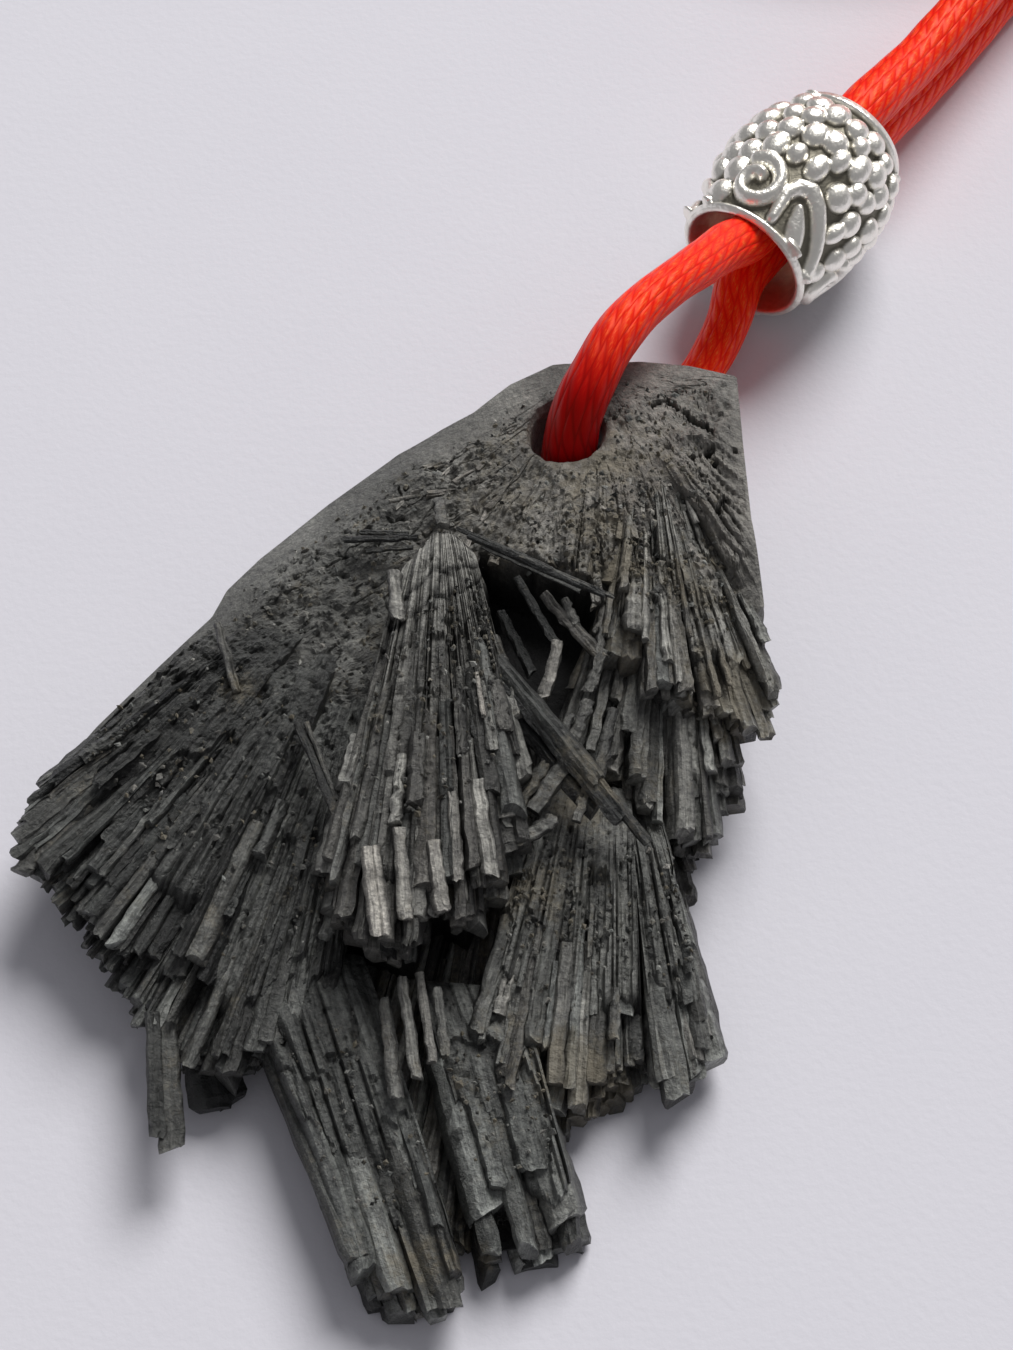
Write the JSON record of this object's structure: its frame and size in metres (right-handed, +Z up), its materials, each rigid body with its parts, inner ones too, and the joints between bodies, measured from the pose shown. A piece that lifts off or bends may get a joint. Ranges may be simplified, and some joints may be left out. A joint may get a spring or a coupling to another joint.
{
  "type": "black kyanite fan pendant",
  "caption": "Fan-shaped spray of black kyanite laths, drilled and strung as a pendant on a doubled red satin cord with a granulated silver-coloured bead.",
  "frame": {"origin": "middle of the stone's footprint, on the surface that the pendant lies on", "axes": "+Y along the stone's length, from its laths' tips towards the drilled end, the bead and the cord; +Z up, out of the face with the raised central spray; +X to the right when that face is seen with the drilled end away from the viewer"},
  "size_m": [0.0605, 0.1129, 0.011],
  "materials": {
    "black_kyanite": "satin",
    "bead_metal": "polished",
    "satin_cord": "satin"
  },
  "bodies": {
    "root": {"kyanite_fan": "black_kyanite", "silver_bead": "bead_metal", "cord_front": "satin_cord", "cord_back": "satin_cord", "cord_coil": "satin_cord", "end_knot": "satin_cord"}
  },
  "joints": []
}
